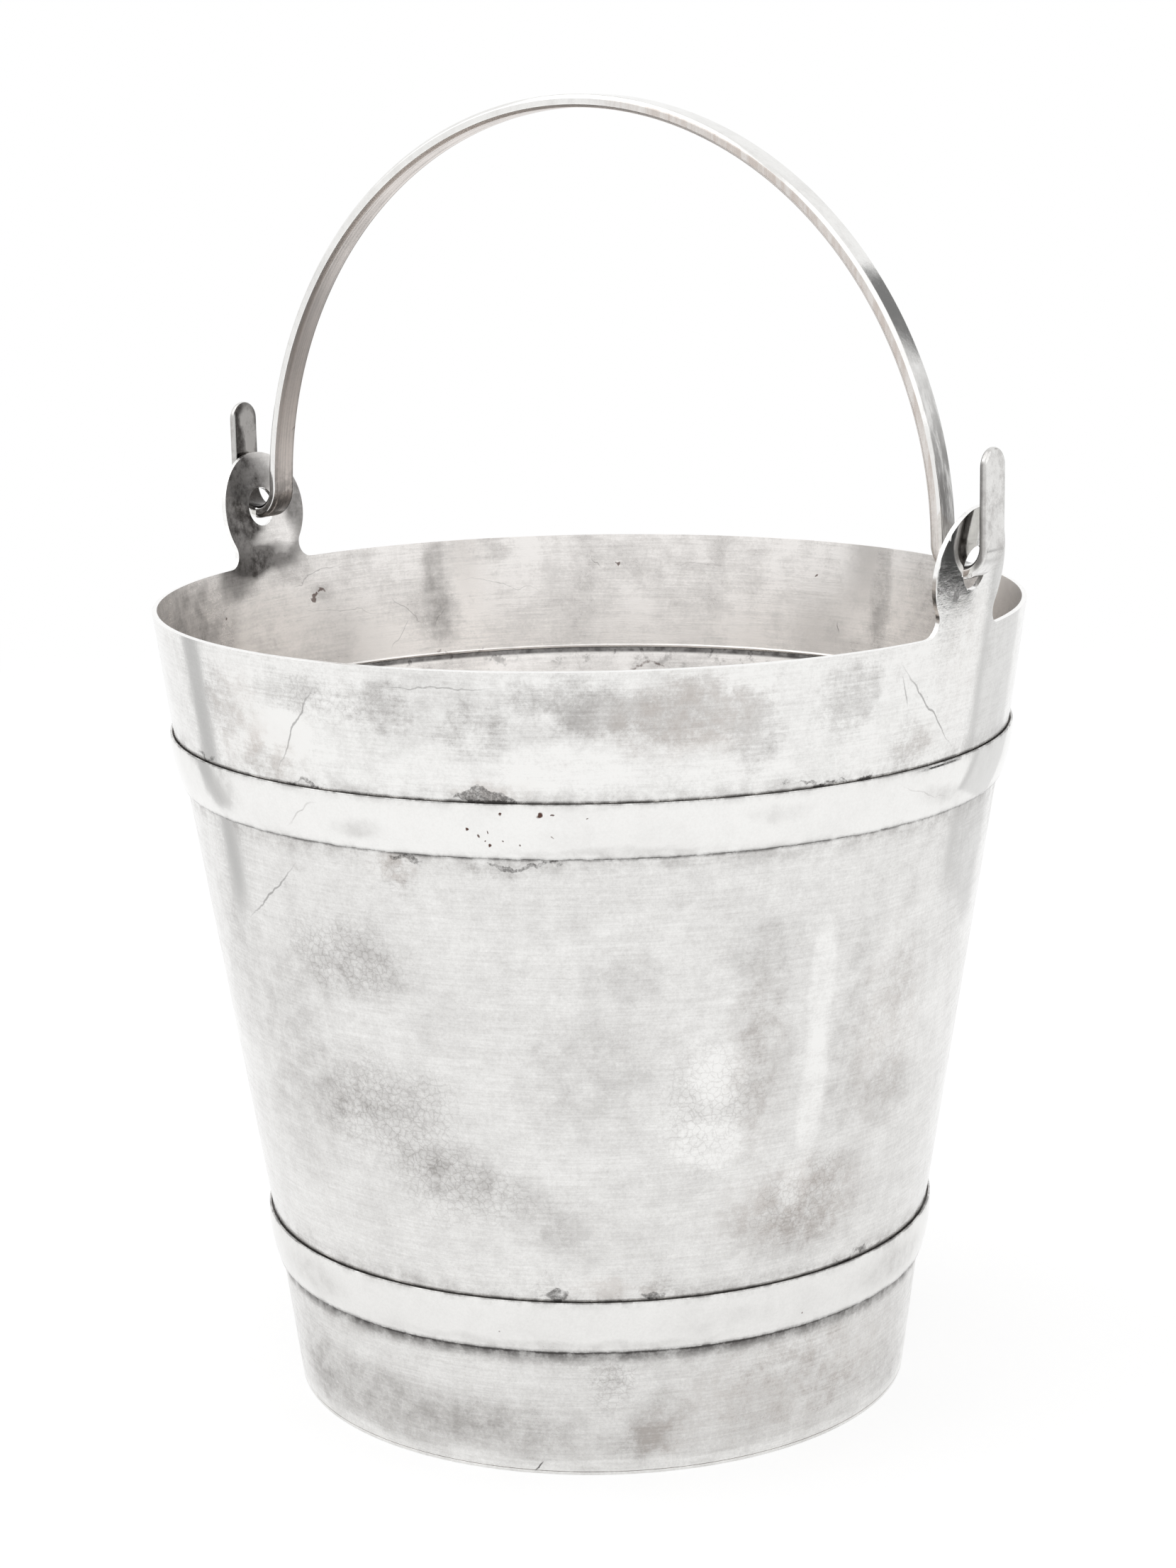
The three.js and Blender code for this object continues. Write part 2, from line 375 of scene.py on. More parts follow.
def collar_mesh(settings):
    """The collar and its ears, cut from a flat plan, rolled up to the taper and given thickness."""
    wall, hoop, ear = settings.wall, settings.hoop, settings.ear
    *_, taper = tapers(settings)
    low = hoop.upper_height + hoop.width - hoop.lap
    quarter = wall.rim_radius * math.pi / 2
    mesh = bmesh.new()
    ear_outline(mesh, settings)
    ops.create_circle(
        mesh, cap_ends=False, segments=ear.arc_steps * 3, radius=ear.hole_radius,
        matrix=Matrix.Translation((0, 0, wall.rim_height + ear.hole_rise))
        @ Matrix.Rotation(math.pi / 2, 4, "Y"),
    )
    for vert in mesh.verts:
        vert.co.y = wall.rim_radius * math.asin(vert.co.y / taper.radius_at(vert.co.z))
    feet = sorted((v for v in mesh.verts if len(v.link_edges) == 1), key=lambda v: v.co.y)
    corners = []
    for foot, side in zip(feet, (-1, 1)):
        high_corner = mesh.verts.new((0, side * quarter, wall.rim_height))
        low_corner = mesh.verts.new((0, side * quarter, low))
        mesh.edges.new((foot, high_corner))
        mesh.edges.new((high_corner, low_corner))
        corners.append(low_corner)
    mesh.edges.new(corners)
    ops.triangle_fill(mesh, use_beauty=True, use_dissolve=False, edges=mesh.edges)
    stations = wall.steps // 2
    for step in range(1, stations):
        place = quarter * (2 * step / stations - 1)
        ops.bisect_plane(
            mesh, geom=everything(mesh), dist=WELD, plane_co=(0, place, 0), plane_no=(0, 1, 0)
        )
    for vert in mesh.verts:
        turn = vert.co.y / wall.rim_radius
        radius = taper.radius_at(vert.co.z)
        vert.co = (radius * math.cos(turn), radius * math.sin(turn), vert.co.z)
    ops.mirror(mesh, geom=everything(mesh), axis="X", merge_dist=WELD)
    weld(mesh)
    first = mesh.faces[:][0]
    place = first.calc_center_median()
    if first.normal.dot(Vector((place.x, place.y, 0))) < 0:
        ops.reverse_faces(mesh, faces=mesh.faces)
    ops.solidify(mesh, geom=mesh.faces[:], thickness=wall.sheet)
    round_edges(mesh, wall.edge_rounding, sharpest=50)
    mark_wall(mesh, lowest_edge=wall.rim_height - wall.sheet)
    return mesh


def bead_mesh(settings):
    """The round bead along the inside of the collar's lower edge."""
    wall, hoop = settings.wall, settings.hoop
    height = hoop.upper_height + hoop.width - hoop.lap + wall.bead_radius
    middle = tapers(settings)[-1].radius_at(height, wall.sheet)
    profile = []
    for corner in range(BEAD_CORNERS):
        turn = math.tau * corner / BEAD_CORNERS
        across, up = math.sin(turn), math.cos(turn)
        profile.append((middle + wall.bead_radius * across, height + wall.bead_radius * up))
    return turned(profile, wall.steps)


def base_mesh(settings):
    """The base plate, with the second material on top."""
    wall = settings.wall
    high_radius = tapers(settings)[0].radius_at(wall.base_thickness)
    mesh = bmesh.new()
    ops.create_cone(
        mesh, cap_ends=True, segments=wall.steps, radius1=wall.foot_low_radius,
        radius2=high_radius, depth=wall.base_thickness,
        matrix=Matrix.Translation((0, 0, wall.base_thickness / 2)),
    )
    round_edges(mesh, wall.edge_rounding / 2)
    for face in mesh.faces:
        face.material_index = 1 if face.normal.z > BASE_TOP_UPWARD else 0
    return mesh


class BailLine:
    """The bail's centre line, worked out as in the solid: tab, bend and arch in the XZ plane."""

    def __init__(self, settings):
        wall, ear, bail = settings.wall, settings.ear, settings.bail
        *_, taper = tapers(settings)
        rise = ear.hole_rise - bail.bend_drop
        self.pivot_height = wall.rim_height + rise
        self.bend_x = taper.radius_at(self.pivot_height, wall.sheet / 2) - bail.bend_inset
        self.bend_z = self.pivot_height + bail.bend_radius
        reach = math.hypot(taper.radius_at(wall.rim_height, wall.sheet) + bail.crown_lap, rise)
        half_flat = bail.bar_width / 2 - bail.bar_chamfer
        crown_rise = math.sqrt(reach**2 - half_flat**2) - bail.bar_thickness / 2
        over = (self.bend_x**2 - crown_rise**2) / (2 * crown_rise)
        self.arch_height = self.bend_z - over
        self.arch_radius = crown_rise - bail.bend_radius + over
        self.arch_end = math.atan2(over, self.bend_x)


def octagon(width, thickness, chamfer):
    """A chamfered section as pairs of a thickness and a width, in order round it."""
    thick, wide = thickness / 2, width / 2
    side, face = (thick - chamfer, wide), (thick, wide - chamfer)
    return [
        side, face, (face[0], -face[1]), (side[0], -side[1]),
        (-side[0], -side[1]), (-face[0], -face[1]), (-face[0], face[1]), (-side[0], side[1]),
    ]


def spun(mesh, ring, **turn):
    """Spins a ring and returns the ring that it ends on."""
    last = ops.spin(mesh, geom=ring, **turn)["geom_last"]
    return [item for item in last if not isinstance(item, bmesh.types.BMFace)]


def bail_mesh(settings):
    bail, line = settings.bail, BailLine(settings)
    bar = octagon(bail.bar_width, bail.bar_thickness, bail.bar_chamfer)
    tab = octagon(bail.tab_width, bail.tab_thickness, bail.tab_chamfer)
    mesh = bmesh.new()
    crown_z = line.arch_height + line.arch_radius
    corners = [mesh.verts.new((0, wide, crown_z + thick)) for thick, wide in bar]
    sides = [mesh.edges.new(pair) for pair in zip(corners, corners[1:] + corners[:1])]
    ring = spun(
        mesh, corners + sides, cent=(0, 0, line.arch_height), axis=(0, 1, 0),
        angle=math.pi / 2 - line.arch_end, steps=bail.arch_steps,
    )
    ring = spun(
        mesh, ring, cent=(line.bend_x, 0, line.bend_z), axis=(0, 1, 0),
        angle=line.arch_end - math.pi, steps=bail.bend_steps,
    )
    flatten_bend(mesh, line, bail.bend_radius, bar, tab)
    shoulder = line.pivot_height + bail.tab_rise - bail.tab_width / 2
    edges = [item for item in ring if isinstance(item, bmesh.types.BMEdge)]
    risen = ops.extrude_edge_only(mesh, edges=edges)["geom"]
    ring = [item for item in risen if isinstance(item, bmesh.types.BMVert)]
    ops.translate(mesh, verts=ring, vec=(0, 0, shoulder - line.bend_z))
    near = [vert for vert in ring if vert.co.y > 0]
    half = near + [edge for edge in mesh.edges if all(vert in near for vert in edge.verts)]
    ops.spin(
        mesh, geom=half, cent=(line.bend_x + bail.bend_radius, 0, shoulder), axis=(1, 0, 0),
        angle=math.pi, steps=bail.tip_steps,
    )
    ops.remove_doubles(mesh, verts=mesh.verts, dist=WELD)
    gaps = [edge for edge in mesh.edges if edge.is_boundary and edge.verts[0].co.x > WELD]
    ops.edgeloop_fill(mesh, edges=gaps)
    ops.mirror(mesh, geom=everything(mesh), axis="X", merge_dist=WELD)
    weld(mesh)
    round_edges(mesh, bail.rounding, segments=3, sharpest=25)
    mark_bail(mesh, line)
    return mesh


def mark_bail(mesh, line):
    """Gives the second material to the inner face with its chamfers, down to under the ear, and
    the third to the tabs' inner faces."""
    crown = Vector((0, 0, line.arch_height))
    for face in mesh.faces:
        place = face.calc_center_median()
        bend = Vector((math.copysign(line.bend_x, place.x), 0, line.bend_z))
        in_bend = place.z < line.bend_z
        if abs(place.x) <= line.bend_x:
            inward = place - bend if in_bend else crown - place
            least, mark = BAIL_INSIDE_INWARD, 1
        else:
            inward = bend - place if in_bend else Vector((-place.x, 0, 0))
            least, mark = TAB_INSIDE_INWARD, 2
        inward.y = 0
        face.material_index = mark if face.normal.dot(inward.normalized()) > least else 0


def flatten_bend(mesh, line, bend_radius, bar, tab):
    """Eases the bar's section into the tab's over the outer quarter of a bend."""
    for vert in mesh.verts:
        across, down = vert.co.x - line.bend_x, line.bend_z - vert.co.z
        if across < 0 or down < -WELD:
            continue
        turn = math.atan2(max(down, 0), across)
        flat = math.cos(turn) ** 2 * (3 - 2 * math.cos(turn))
        place = math.hypot(across, down) - bend_radius, vert.co.y
        corner = min(zip(bar, tab), key=lambda pair: math.dist(pair[0], place))
        thick, wide = (old + (new - old) * flat for old, new in zip(*corner))
        reach = bend_radius + thick
        vert.co = line.bend_x + reach * math.cos(turn), wide, line.bend_z - reach * math.sin(turn)


# Finishes

# Stains, and marks of painted shade, highlight and reflection, as an azimuth in degrees, a height,
# half a width and half a height in millimetres, a strength, and a lean in degrees where there is
# one. It lifts the end with the higher azimuth.
# A stain goes through the wall by this much, in metres, and by more where the wall curves away.
STAIN_DEPTH = 0.012
# Share of a stain's reach that keeps its full strength
STAIN_CORE = 0.3

# Two tall ovals, at -29.5 and -13.5 degrees, are painted reflection: the darker bands beside the
# barrel's painted highlight.
SOFT_STAINS_AND_REFLECTIONS = (
    (-90, 127, 24, 15, 0.26), (-89, 94, 26, 14, 0.27), (-76, 77, 21, 12, 0.26, -20),
    (-62, 66, 13, 9, 0.22, -30), (-56, 104, 26, 22, 0.13), (-50, 128, 18, 10, 0.16, -10),
    (-29.5, 106, 10, 36, 0.22), (-13.5, 108, 9, 35, 0.2), (-20, 64, 28, 15, 0.3),
    (-4, 90, 15, 13, 0.22, -15), (-4, 119, 12, 13, 0.16, -35), (-30, 132, 14, 11, 0.16),
    (-104, 100, 24, 40, 0.2), (-118, 120, 14, 34, 0.14), (-62, 190, 70, 15, 0.2),
    (-96, 12, 48, 12, 0.24), (-68, 12, 30, 10, 0.2), (-44, 12, 11, 9, 0.34, 35),
    (-20, 14, 28, 14, 0.1), (8, 10, 18, 9, 0.12), (-116, 14, 16, 16, 0.18),
    (160, 110, 60, 50, 0.24), (100, 90, 50, 40, 0.2), (60, 60, 40, 34, 0.24),
)
# Two tall ovals at -20.4 degrees are a painted highlight: an upright streak of reflection on the
# barrel.
LIGHT_STAINS_AND_HIGHLIGHTS = (
    (-20.4, 93, 4.6, 22, 0.2), (-20.4, 122, 4.6, 22, 0.2), (-22, 71, 5.4, 8, 0.2),
    (-95, 182, 11, 8, 0.26), (-57, 178, 20, 8, 0.12), (-36, 103, 10, 8, 0.2),
    (-37, 85, 11, 8, 0.16), (-60, 1.2, 160, 3.6, 0.16), (-84, 25, 40, 6, 0.1),
    (13, 144, 9, 6, 0.12),
)
RAGGED_STAINS = (
    (-93, 192, 20, 9, 0.6), (-80, 191, 14, 11, 0.56), (-107, 186, 15, 16, 0.6),
    (-99, 175, 18, 8, 0.56, 20), (-56, 193, 24, 10, 0.6, -6), (-42, 190, 28, 12, 0.72, 4),
    (-33, 183, 11, 14, 0.56), (-20, 190, 18, 13, 0.58, 30), (-9, 176, 13, 11, 0.5),
    (-79, 152, 9, 7, 0.42), (-66, 154, 12, 5, 0.4), (-46, 10, 13, 9, 0.3, 30),
    (-52, 26, 7, 9, 0.5, -20), (-20, 25, 30, 9, 0.34), (-10, 13, 22, 12, 0.3),
    (-61, 50, 10, 5, 0.36), (-45, 49.5, 10, 5, 0.36), (-18, 62, 22, 12, 0.34),
    (-30, 112, 9, 22, 0.26), (-68, 186, 14, 10, 0.44), (170, 190, 24, 9, 0.5),
)
WARM_STAINS = (
    (-42, 189, 26, 12, 0.9), (-104, 184, 16, 18, 0.7), (-97, 176, 14, 9, 0.7),
    (-80, 153, 9, 6, 0.8), (-66, 172, 12, 4, 0.9), (-8, 176, 9, 8, 0.5), (-21, 66, 30, 16, 0.7),
    (-6, 105, 18, 38, 0.5), (-16, 18, 50, 18, 0.6), (-44, 11, 9, 10, 0.7, 30),
    (-52, 49.5, 16, 4, 0.7), (-30, 104, 10, 38, 0.4), (0, 196, 14, 20, 0.3),
)
# Dirt, and painted shade in the ovals just under the upper hoop, at 155.8 mm
DIRT_AND_SHADE_STAINS = (
    (-66, 170.8, 13, 2.8, 0.66), (-91, 170.8, 13, 1.5, 0.5), (-66, 170.2, 9, 1.4, 0.6),
    (-22, 170.6, 24, 1.1, 0.5), (-114, 171, 10, 1.2, 0.5), (-61, 47.4, 7, 2.6, 0.56),
    (-45, 47.2, 7, 2.2, 0.56), (-78, 155.8, 7, 1.6, 0.5), (-63, 155.8, 20, 1.4, 0.5),
    (-5, 47.6, 20, 1.5, 0.45), (-3.6, 210, 2.6, 3, 0.8, 20), (-7.6, 186, 0.6, 1.2, 0.5, 60),
    (-52, 28, 5, 5, 0.34),
)
CRACKS = (
    (-92.5, 184, 16, 0.34, 0.5, 57), (-6.5, 184, 19, 0.34, 0.5, -45),
    (-103, 141.5, 18, 0.34, 0.5, 37), (-65, 2.6, 2.2, 0.3, 0.9, 60), (-26, 19, 19, 0.26, -0.5, 36),
    (-29, 15, 16, 0.26, -0.4, 36), (-23, 22, 14, 0.24, -0.4, 34), (-72, 196, 18, 0.25, 0.35, 2),
    (-11.5, 189, 5, 0.3, 0.4, -68),
)
CELL_STAINS = (
    (-86, 92, 30, 18, 1.0), (-75, 74, 24, 14, 1.0, -15), (-90, 129, 26, 15, 1.0),
    (-37, 95, 17, 26, 1.0), (-22, 68, 20, 14, 0.9), (-4, 108, 18, 30, 0.5), (-52, 26, 9, 9, 0.9),
    (-88, 191, 22, 9, 0.7), (-80, 152, 9, 7, 0.9),
)
# Stains inside; the tall narrow ovals are upright bands of painted reflection.
INNER_STAINS_AND_REFLECTIONS = (
    (151, 190, 5.5, 26, 0.36), (151, 180, 9, 10, 0.2), (128, 190, 7, 26, 0.16),
    (78.5, 188, 5, 26, 0.36), (106.5, 184, 5, 24, 0.14), (187, 198, 11, 9, 0.66),
    (176, 196, 12, 6, 0.24), (142, 197, 13, 6, 0.2), (171, 190, 6, 4, 0.26),
    (206, 186, 42, 26, 0.64), (60, 190, 26, 24, 0.3), (119, 190, 18, 9, 0.1),
    (150, 164, 16, 5, 0.22), (112, 163, 26, 4, 0.14), (60, 150, 30, 30, 0.2),
    (-60, 190, 50, 16, 0.16), (-20, 120, 60, 40, 0.2), (-130, 80, 60, 40, 0.2),
)
# Paler patches inside; the two tall ones, at 136 and 145 degrees, are bands of painted reflection.
INNER_LIGHT = (
    (145, 188, 7, 22, 0.16), (119, 183, 8, 10, 0.14), (98, 191, 7, 8, 0.12), (136, 190, 8, 24, 0.1),
    (160, 175, 14, 10, 0.1),
)
INNER_CRACKS = (
    (171, 194.5, 12, 0.2, 0.36, -12), (155.5, 182, 8, 0.2, 0.34, 48),
    (150.5, 179, 4, 0.2, 0.34, -50), (126, 192.5, 3, 0.2, 0.4, 40), (86, 177, 2.6, 0.25, 0.5, 85),
    (167, 184, 20, 0.16, 0.25, 8), (140, 187, 16, 0.16, 0.25, 12), (110, 192, 12, 0.16, 0.2),
    (157, 176, 7, 0.2, 0.3, -60),
)
INNER_DIRT = (
    (170.4, 190.4, 2.6, 1.3, 0.6, -30), (171.6, 189, 1.6, 0.9, 0.6, 20),
    (191.6, 189.6, 0.7, 0.8, 0.8), (148, 168.6, 22, 1.6, 0.42), (118, 163.4, 12, 1, 0.4),
    (100, 163, 10, 1, 0.4), (90, 191.5, 0.7, 0.7, 0.8), (122, 192, 0.7, 0.7, 0.7),
)
EAR_TARNISH = (
    (186, 219, 17, 17, 1.3), (179, 224, 18, 9, 0.6), (184.5, 206, 15, 12, 0.85),
    (181, 201.5, 20, 6, 0.9), (173.5, 213, 7, 14, 0.8), (188, 198, 10, 8, 0.5),
)
EAR_LIGHT = (
    (174.6, 228, 9, 6, 0.5), (180.5, 207.2, 10, 3.6, 0.5), (175, 207, 6, 5, 0.2),
    (177, 203.6, 9, 2.4, 0.3),
)
HOOP_PITS = (
    (-60, 167.4, 0.7, 0.7, 1.0), (-64.6, 167.3, 0.45, 0.45, 1.0), (-69, 164.2, 0.45, 0.45, 1.0),
    (-66, 160.2, 0.6, 0.6, 1.0), (-67.6, 162.6, 0.36, 0.36, 0.9), (-66.2, 163.6, 0.3, 0.3, 0.9),
    (-62.3, 160.9, 0.4, 0.4, 0.8), (-58.4, 167.8, 0.34, 0.3, 0.9), (-64.4, 162, 0.3, 0.3, 0.8),
    (-58.2, 162.4, 0.34, 0.3, 0.6), (-53.8, 166.3, 0.26, 0.26, 0.8), (-66.8, 161.4, 0.3, 0.3, 0.9),
    (-18.6, 36.6, 0.4, 0.4, 0.7), (-70, 38, 0.3, 0.3, 0.5),
)
HOOP_STAINS = (
    (-93, 164, 8, 0.3, 0.4, 29), (-6, 164, 12, 0.25, 0.3, -18), (-84, 162, 10, 4, 0.24),
    (-110, 164, 12, 7, 0.3), (-2, 162, 14, 4, 0.24, -10), (-50, 158.6, 30, 1.8, 0.2),
    (-30, 165.5, 12, 3, 0.14), (-60, 35, 60, 1.8, 0.2), (-110, 40, 20, 7, 0.2),
    (5, 40, 22, 7, 0.26), (-32, 39, 16, 4, 0.1),
)


# Scale, detail and roughness of the noises that finishes share
CLOUDS = (45, 8, 0.62)
MOTTLE = (190, 8, 0.72)
HOOP_MOTTLE = (210, 8, 0.72)
GRAIN = (1300, 5, 0.85)


class Amount:
    """A number that nodes work out at each place. Sums and products of amounts add nodes."""

    def __init__(self, nodes, socket):
        self.nodes = nodes
        self.socket = socket

    def __add__(self, other):
        return self.nodes.math("ADD", self, other)

    def __sub__(self, other):
        return self.nodes.math("SUBTRACT", self, other)

    def __mul__(self, other):
        return self.nodes.math("MULTIPLY", self, other)

    def __abs__(self):
        return self.nodes.math("ABSOLUTE", self)

    def most(self, other):
        """The larger of two amounts."""
        return self.nodes.math("MAXIMUM", self, other)

    def held(self):
        """The amount, kept between 0 and 1."""
        return self.nodes.math("MAXIMUM", self, 0.0, use_clamp=True)

    def ease(self, low, high, least=0.0, most=1.0):
        """The least where the amount is at low, the most where it is at high, smooth between."""
        values = {0: self, 1: low, 2: high, 3: least, 4: most}
        node = self.nodes.add("ShaderNodeMapRange", values, interpolation_type="SMOOTHSTEP")
        return Amount(self.nodes, node.outputs[0])


class Nodes:
    """A node tree that is filled one node at a time. A value is a number, a colour, an amount or
    another node's output."""

    def __init__(self, owner):
        owner.use_nodes = True
        self.tree = owner.node_tree
        self.tree.nodes.clear()

    def add(self, kind, values=None, **settings):
        node = self.tree.nodes.new(kind)
        for key, value in settings.items():
            setattr(node, key, value)
        for key, value in (values or {}).items():
            socket = node.inputs[key]
            value = value.socket if isinstance(value, Amount) else value
            if isinstance(value, bpy.types.NodeSocket):
                self.tree.links.new(value, socket)
            elif socket.type == "RGBA":
                socket.default_value = (*value, 1)
            else:
                socket.default_value = value
        return node

    def math(self, operation, first, second=0.0, **settings):
        node = self.add("ShaderNodeMath", {0: first, 1: second}, operation=operation, **settings)
        return Amount(self, node.outputs[0])

    def emission(self, tint, strength=1.0):
        return self.add("ShaderNodeEmission", {"Color": tint, "Strength": strength}).outputs[0]

    def seen_directly(self):
        """1 for what the camera, a reflection or glass sees, 0 for light that only bounces."""
        path = self.add("ShaderNodeLightPath").outputs
        direct = self.math("MAXIMUM", path["Is Camera Ray"], path["Is Glossy Ray"])
        return direct.most(path["Is Transmission Ray"])


class Finish(Nodes):
    """A material, with the noises, stains and lines that the silver is painted from."""

    def __init__(self, name, settings=None):
        self.material = bpy.data.materials.get(name) or bpy.data.materials.new(name)
        super().__init__(self.material)
        self.settings = settings
        self.place = self.add("ShaderNodeTexCoord").outputs["Object"]
        parts = self.add("ShaderNodeSeparateXYZ", {0: self.place}).outputs
        self.x, self.y, self.z = (Amount(self, part) for part in parts)

    def noise(self, scale, detail, roughness, stretch=(1, 1, 1)):
        place = self.place
        if stretch != (1, 1, 1):
            place = self.add("ShaderNodeMapping", {0: place, 3: stretch}).outputs[0]
        values = {"Vector": place, "Scale": scale, "Detail": detail, "Roughness": roughness}
        return Amount(self, self.add("ShaderNodeTexNoise", values).outputs[0])

    def cells(self, scale, place):
        """How far it is to the nearest border of a net of cells."""
        values = {"Vector": place, "Scale": scale}
        node = self.add("ShaderNodeTexVoronoi", values, feature="DISTANCE_TO_EDGE")
        return Amount(self, node.outputs["Distance"])

    def warped(self, scale, reach):
        """The place, pushed about by a noise, so that outlines drawn on it wander."""
        values = {"Vector": self.place, "Scale": scale, "Detail": 4.0}
        moved = self.add("ShaderNodeTexNoise", values).outputs["Color"]
        for operation, values in (
            ("SUBTRACT", {1: (0.5, 0.5, 0.5)}),
            ("SCALE", {"Scale": reach}),
            ("ADD", {1: self.place}),
        ):
            node = self.add("ShaderNodeVectorMath", {0: moved, **values}, operation=operation)
            moved = node.outputs[0]
        return moved

    def oval(self, place, centre, turn, size, strength, core=0.0):
        """A strength in the middle of an oval, easing to 0 at its outline. A core stays full."""
        values = {0: place, 1: centre, 2: turn, 3: size}
        node = self.add("ShaderNodeMapping", values, vector_type="TEXTURE")
        near = self.add("ShaderNodeTexGradient", {0: node.outputs[0]}, gradient_type="SPHERICAL")
        return Amount(self, near.outputs["Fac"]).ease(0.0, 1.0 - core, 0.0, strength)

    def stains(self, place, table, core=STAIN_CORE):
        """The ovals of a table on the round wall, stains and marks of painted light, added up."""
        ovals = []
        for azimuth, height, wide, tall, strength, *lean in table:
            turn, height, wide, tall = math.radians(azimuth), height * MM, wide * MM, tall * MM
            radius = wall_radius(self.settings, height)
            centre = (radius * math.cos(turn), radius * math.sin(turn), height)
            size = (STAIN_DEPTH + wide**2 / radius / 2, wide, tall)
            turns = (math.radians(sum(lean)), 0, turn)
            ovals.append(self.oval(place, centre, turns, size, strength, core))
        return sum(ovals[1:], ovals[0])

    def near_height(self, height, reach):
        """1 at a height, 0 further off than a reach."""
        return abs(self.z - height).ease(reach, 0.0)

    def hoop_edges(self, reach):
        """1 along the edges of both hoops, 0 further off than a reach."""
        hoop = self.settings.hoop
        low, *others = (
            self.near_height(height + rise, reach)
            for height in (hoop.lower_height, hoop.upper_height) for rise in (0, hoop.width)
        )
        return sum(others, low)

    def painted(self, tone, roughness, height, depth):
        """The metal, with a tone made of a colour and of layers over it, each an amount and a
        colour, and with a roughness and a relief."""
        base, *layers = tone
        for amount, tint in layers:
            values = {0: amount, 6: base, 7: tint}
            base = self.add("ShaderNodeMix", values, data_type="RGBA").outputs[2]
        bump = self.add("ShaderNodeBump", {"Strength": 1.0, "Distance": depth, "Height": height})
        values = {"Base Color": base, "Roughness": roughness, "Normal": bump.outputs[0]}
        values["Metallic"] = 1.0
        return self.shown(self.add("ShaderNodeBsdfPrincipled", values).outputs[0])

    def shown(self, surface):
        """The material, once it shows a surface."""
        self.add("ShaderNodeOutputMaterial", {0: surface})
        return self.material


def wall_silver(settings):
    """Outside of the wall: pale silver under grey tarnish, water spots, cracks and dirt, with
    painted shade at the hoops and a painted highlight.
    """
    look, wall, hoop = settings.look, settings.wall, settings.hoop
    finish = Finish("wall_silver", settings)
    drift, fray = finish.warped(60, 0.014), finish.warped(170, 0.009)
    wander = finish.warped(110, 0.004)
    clouds = finish.noise(40, 8, 0.62)
    mottle, grain = finish.noise(*MOTTLE), finish.noise(*GRAIN)
    brushed = finish.noise(1, 5, 0.75, (60, 60, 1500))
    cells = finish.cells(560, finish.warped(500, 0.0016))

    # The wall is painted darker towards the bottom: more film under the upper hoop, and most under
    # the lower one.
    collar_zone = finish.z.ease(hoop.upper_height + 0.004, hoop.upper_height + 0.008, 0.16, 0.0)
    barrel_zone = finish.z.ease(hoop.lower_height + 0.004, hoop.lower_height + 0.008, 0.17, 0.05)
    soft = finish.stains(drift, SOFT_STAINS_AND_REFLECTIONS) * mottle.ease(0.25, 0.75, 0.5, 1.4)
    light = finish.stains(wander, LIGHT_STAINS_AND_HIGHLIGHTS, core=0.55)
    ragged = finish.stains(fray, RAGGED_STAINS, core=0.2)
    ragged = ragged + mottle * 1.1 + brushed * 0.5 + grain * 0.3
    spots = finish.stains(drift, CELL_STAINS)
    water = (cells.ease(0.1, 0.02, 0.0, 0.2) + cells.ease(0.2, 0.36, 0.0, -0.07)) * spots
    film = (
        collar_zone + barrel_zone + soft - light + ragged.ease(1.12, 1.7, 0.0, 0.34) + water
        + finish.hoop_edges(0.0055) * mottle.ease(0.35, 0.65, 0.04, 0.34)
        + clouds.ease(0.35, 0.7, -0.03, 0.1) + mottle.ease(0.3, 0.75, -0.07, 0.13)
        + grain.ease(0.25, 0.75, -0.14, 0.14) + brushed.ease(0.3, 0.7, -0.07, 0.09)
    ).held()
    # Dirt, with painted shade under the upper hoop
    dirt = (finish.stains(fray, DIRT_AND_SHADE_STAINS) + mottle * 0.9).ease(0.8, 1.0)
    # Along the hoops' edges: dark lines of grime and of painted shade in the crevices. Under the
    # lower hoop: a band of painted shade.
    lines = finish.hoop_edges(0.0009) * mottle.ease(0.35, 0.6, 0.3, 0.9)
    painted_shade_under_hoop = finish.near_height(hoop.lower_height, 0.0042) * mottle.ease(0.3, 0.62, 0.4, 0.95)
    dark = (
        dirt * grain.ease(0.35, 0.6, 0.3, 0.8) + lines + painted_shade_under_hoop + finish.stains(wander, CRACKS)
    ).held()
    warmth = finish.stains(fray, WARM_STAINS) * mottle.ease(0.4, 0.62, 0.15, 0.8)
    rubbed = finish.z.ease(
        wall.rim_height, wall.rim_height + 0.006, look.dullness - look.polish, 0.04
    )
    return finish.painted(
        (look.bright, (film, look.tarnish), (warmth.held() * 0.5, look.warm), (dark, look.crevice)),
        film * rubbed + look.polish + dark * 0.3,
        brushed * 0.1 + grain * 0.1 + clouds * 1.4,
        0.05 * MM,
    )


